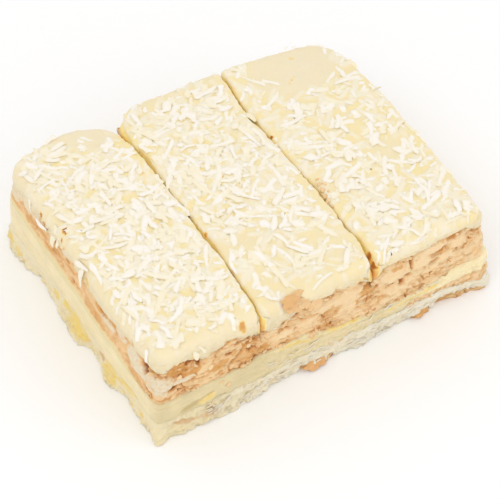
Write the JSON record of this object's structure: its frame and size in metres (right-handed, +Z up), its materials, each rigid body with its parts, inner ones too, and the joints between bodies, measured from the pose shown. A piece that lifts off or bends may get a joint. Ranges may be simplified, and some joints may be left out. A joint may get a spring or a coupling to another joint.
{
  "type": "mille feuille slab",
  "caption": "Layered cream and custard pastry slab scored into strips, with soft icing on top strewn with shredded coconut.",
  "frame": {"origin": "middle of the slab's bounding box, on the surface it rests on", "axes": "+X across the strips, from the left one to the right one; +Y along the strips, away from the shown end; +Z up"},
  "size_m": [0.1444, 0.1156, 0.0423],
  "materials": {
    "icing": "smooth satin",
    "coconut": "dry matte",
    "pastry": "dry flaky matte",
    "custard": "soft satin",
    "cream": "soft, fibrous matte",
    "crust": "baked matte"
  },
  "bodies": {
    "root": {"pastry_bottom": "crust", "cream": "cream", "pastry_middle": "pastry", "custard": "custard", "pastry_top": "pastry", "icing_left": "icing", "icing_middle": "icing", "icing_right": "icing"}
  },
  "joints": []
}
